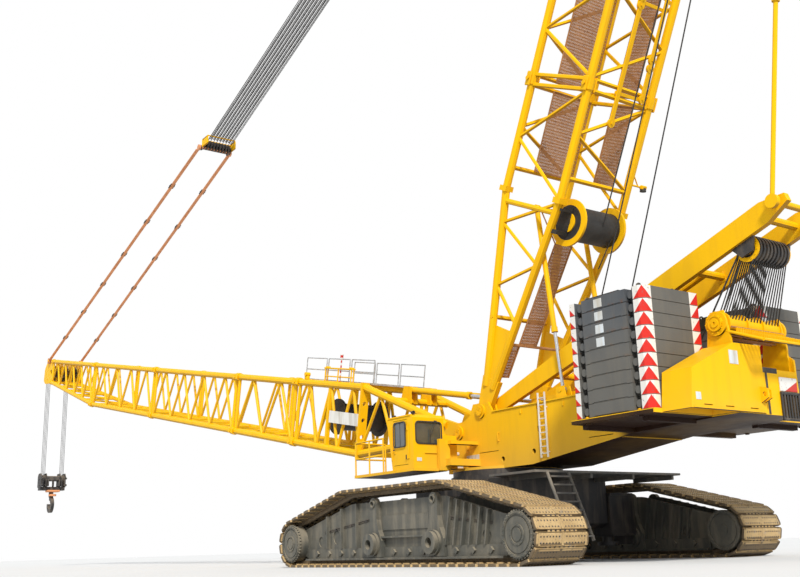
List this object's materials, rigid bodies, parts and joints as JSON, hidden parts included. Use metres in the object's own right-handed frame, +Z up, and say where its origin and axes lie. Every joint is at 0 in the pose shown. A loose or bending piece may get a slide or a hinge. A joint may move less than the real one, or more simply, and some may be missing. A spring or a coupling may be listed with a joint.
{
  "type": "lattice boom crawler crane, 1:2 scale model",
  "caption": "Lattice boom crawler crane on two wide-shoe crawlers, with slewing turntable, slab ballast, cab, long main boom with hook block, and a derrick mast with its stay frame.",
  "frame": {"origin": "on the ground, under the middle of the overall length and between the crawlers", "axes": "+X forwards along the boom, +Y to the machine's left, +Z up"},
  "size_m": [37.7997, 5.5, 19.9463],
  "materials": {
    "yellow": "gloss",
    "grey": "satin",
    "dark": "satin",
    "shoe": "matte",
    "slab": "matte",
    "deck": "matte",
    "white": "satin",
    "glass": "polished",
    "trim": "matte",
    "rope": "matte",
    "pendant": "matte",
    "rod": "polished",
    "galv": "satin"
  },
  "bodies": {
    "undercarriage": {"carbody": "dark", "slew_ring": "dark", "crawler_frame_left": "grey", "crawler_frame_right": "grey", "track_left": "shoe", "track_right": "shoe", "tumblers": "grey", "rollers": "dark", "carbody_decks": "deck"},
    "superstructure": {"turntable": "yellow", "engine_block": "dark", "engine_hood": "yellow", "ballast_bracket": "yellow", "counterweight_left": "slab", "counterweight_right": "slab", "winch_frame": "yellow", "side_ladder": "white", "cab_shell": "yellow", "cab_glass": "glass", "cab_interior": "trim", "cab_platform": "yellow"},
    "cab_door": {"cab_door": "yellow"},
    "boom": {"boom_foot": "yellow", "boom_short_section": "yellow", "boom_long_sections": "yellow", "boom_head": "yellow", "boom_sheaves": "dark", "boom_winch": "rope", "boom_walkway": "galv", "boom_sign": "white", "boom_pendants": "pendant"},
    "mast": {"mast_foot": "yellow", "mast_sections": "yellow", "mast_head": "yellow", "mast_winch": "rope", "mast_bars": "yellow"},
    "stay": {"stay_frame": "yellow", "stay_sheaves": "dark"},
    "tackle": {"tackle": "dark"},
    "hook": {"hook_lines": "rope", "hook_block": "dark"},
    "boom_stop_barrels": {"boom_stop_barrels": "yellow"},
    "boom_stop_rods": {"boom_stop_rods": "rod"},
    "mast_stop_barrels": {"mast_stop_barrels": "yellow"},
    "mast_stop_rods": {"mast_stop_rods": "rod"}
  },
  "joints": [
    {"name": "slew", "type": "hinge", "parent": "undercarriage", "child": "superstructure", "pos_m": [-9.95822, 0, 1.595], "axis": [0, 0, 1], "continuous": true},
    {"name": "cab_door_hinge", "type": "hinge", "parent": "superstructure", "child": "cab_door", "pos_m": [-9.63322, 2.01, 2.11], "axis": [0, 0, 1], "range_deg": [0, 90]},
    {"name": "boom_luff", "type": "hinge", "parent": "superstructure", "child": "boom", "pos_m": [-9.45822, 0, 2.325], "axis": [0, -1, 0], "range_deg": [-4, 70]},
    {"name": "hook_swing", "type": "hinge", "parent": "boom", "child": "hook", "pos_m": [18.34051, 0, 7.62789], "axis": [0, -1, 0], "range_deg": [-70, 4]},
    {"name": "boom_stop_swing", "type": "hinge", "parent": "boom", "child": "boom_stop_barrels", "pos_m": [-7.33387, 0, 3.46322], "axis": [0, -1, 0], "range_deg": [-26.79, 1.53]},
    {"name": "boom_stop_slide", "type": "slide", "parent": "boom_stop_barrels", "child": "boom_stop_rods", "axis": [-0.9809, 0, -0.1947], "range_m": [-1.34722, 0.07698]},
    {"name": "mast_luff", "type": "hinge", "parent": "superstructure", "child": "mast", "pos_m": [-10.10822, 0, 2.65], "axis": [0, -1, 0], "range_deg": [-3, 3]},
    {"name": "stay_luff", "type": "hinge", "parent": "superstructure", "child": "stay", "pos_m": [-10.10822, 0, 2.65], "axis": [0, -1, 0], "range_deg": [-3, 3]},
    {"name": "tackle_swing", "type": "hinge", "parent": "mast", "child": "tackle", "pos_m": [-18.00695, 0, 19.82571], "axis": [0, -1, 0], "range_deg": [-4, 70]},
    {"name": "mast_stop_swing", "type": "hinge", "parent": "mast", "child": "mast_stop_barrels", "pos_m": [-11.76701, 0, 6.05104], "axis": [0, -1, 0], "range_deg": [-0.0869, 0.0869]},
    {"name": "mast_stop_slide", "type": "slide", "parent": "mast_stop_barrels", "child": "mast_stop_rods", "axis": [-0.1031, 0, -0.9947], "range_m": [-0.10473, 0.10473]}
  ],
  "couplings": [
    {"joint": "hook_swing", "follows": "boom_luff", "ratio": -1},
    {"joint": "boom_stop_swing", "follows": "boom_luff", "ratio": -0.3827},
    {"joint": "boom_stop_slide", "follows": "boom_luff", "m_per_rad": -1.1027},
    {"joint": "tackle_swing", "follows": "boom_luff", "ratio": 1},
    {"joint": "stay_luff", "follows": "mast_luff", "ratio": 1},
    {"joint": "mast_stop_swing", "follows": "mast_luff", "ratio": -0.02896},
    {"joint": "mast_stop_slide", "follows": "mast_luff", "m_per_rad": -2.0002}
  ]
}
